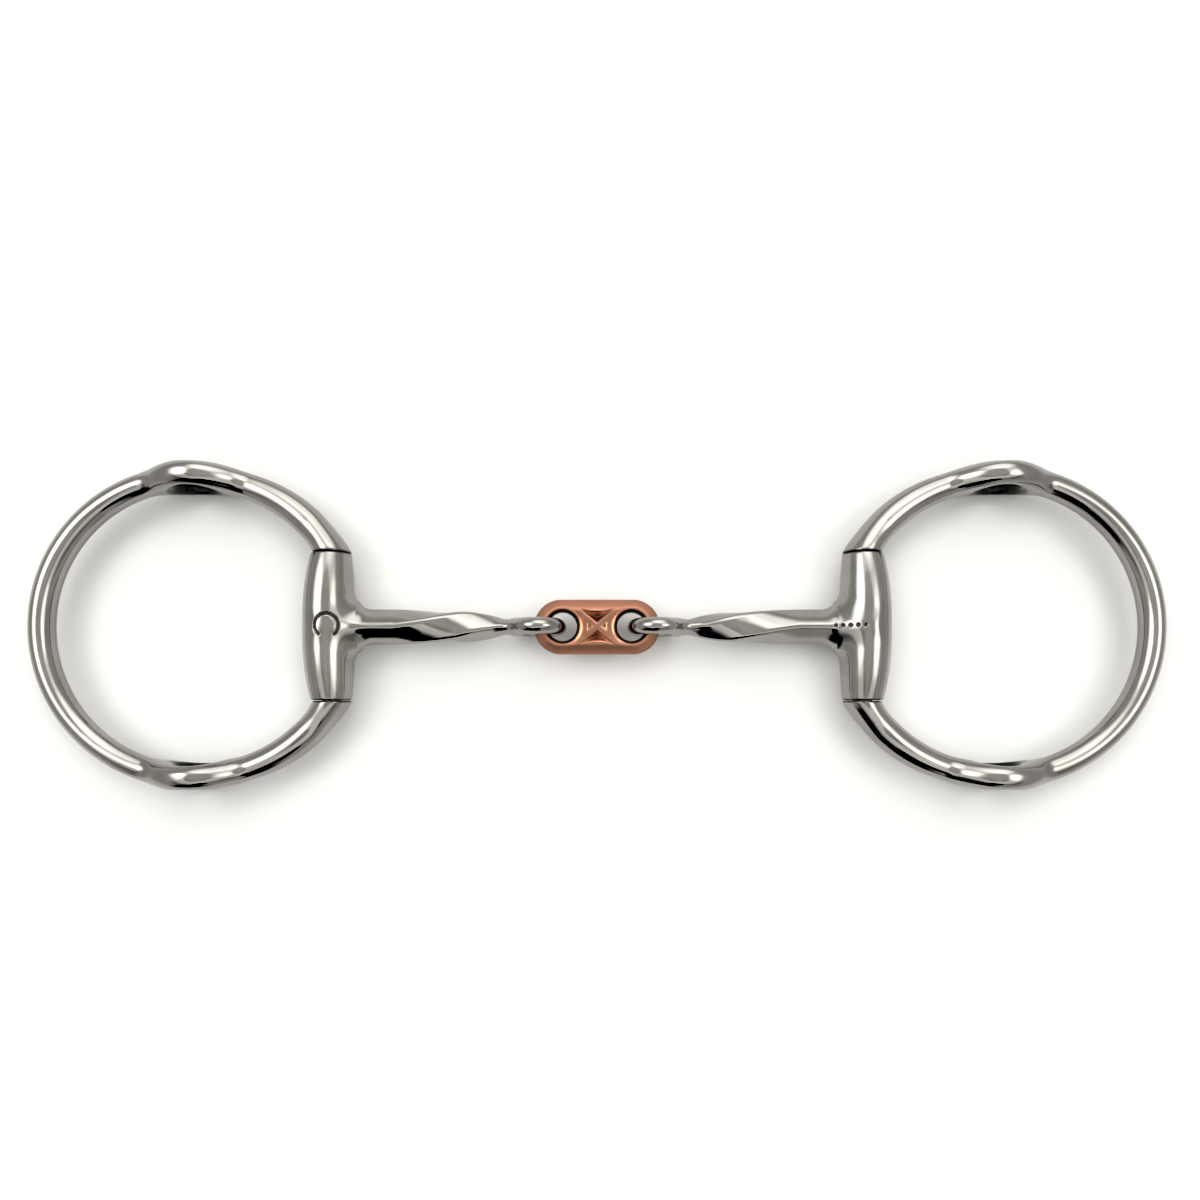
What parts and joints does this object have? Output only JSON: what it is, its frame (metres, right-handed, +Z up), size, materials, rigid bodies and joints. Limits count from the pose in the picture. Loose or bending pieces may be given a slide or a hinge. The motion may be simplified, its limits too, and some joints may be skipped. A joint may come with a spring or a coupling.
{
  "type": "snaffle bit",
  "caption": "Eggbutt gag snaffle bit: pierced cheek rings on pinned barrels, twisted steel cannons with closed eyes, and a copper lozenge link.",
  "frame": {"origin": "centre of the copper lozenge, half way between the two rings and in their plane", "axes": "+X along the mouthpiece, +Y in the plane of the rings, +Z up from that plane, with the bit lying flat"},
  "size_m": [0.2892, 0.083, 0.015],
  "materials": {
    "polished_steel": "polished",
    "pin_steel": "satin",
    "polished_copper": "polished"
  },
  "bodies": {
    "link": {"copper_lozenge": "polished_copper"},
    "left_cannon": {"left_cannon": "polished_steel"},
    "right_cannon": {"right_cannon": "polished_steel"},
    "left_cheek": {"left_cheek_ring": "polished_steel", "left_hinge_pin": "pin_steel"},
    "right_cheek": {"right_cheek_ring": "polished_steel", "right_hinge_pin": "pin_steel"}
  },
  "joints": [
    {"name": "left_link_fold", "type": "hinge", "parent": "link", "child": "left_cannon", "pos_m": [-0.015, 0, 0], "axis": [0, 1, 0], "range_deg": [-40, 40]},
    {"name": "right_link_fold", "type": "hinge", "parent": "link", "child": "right_cannon", "pos_m": [0.015, 0, 0], "axis": [0, 1, 0], "range_deg": [-40, 40]},
    {"name": "left_cheek_swivel", "type": "hinge", "parent": "left_cannon", "child": "left_cheek", "pos_m": [-0.0677, 0, 0], "axis": [0, 1, 0], "range_deg": [-90, 90]},
    {"name": "right_cheek_swivel", "type": "hinge", "parent": "right_cannon", "child": "right_cheek", "pos_m": [0.0677, 0, 0], "axis": [0, 1, 0], "range_deg": [-90, 90]}
  ]
}
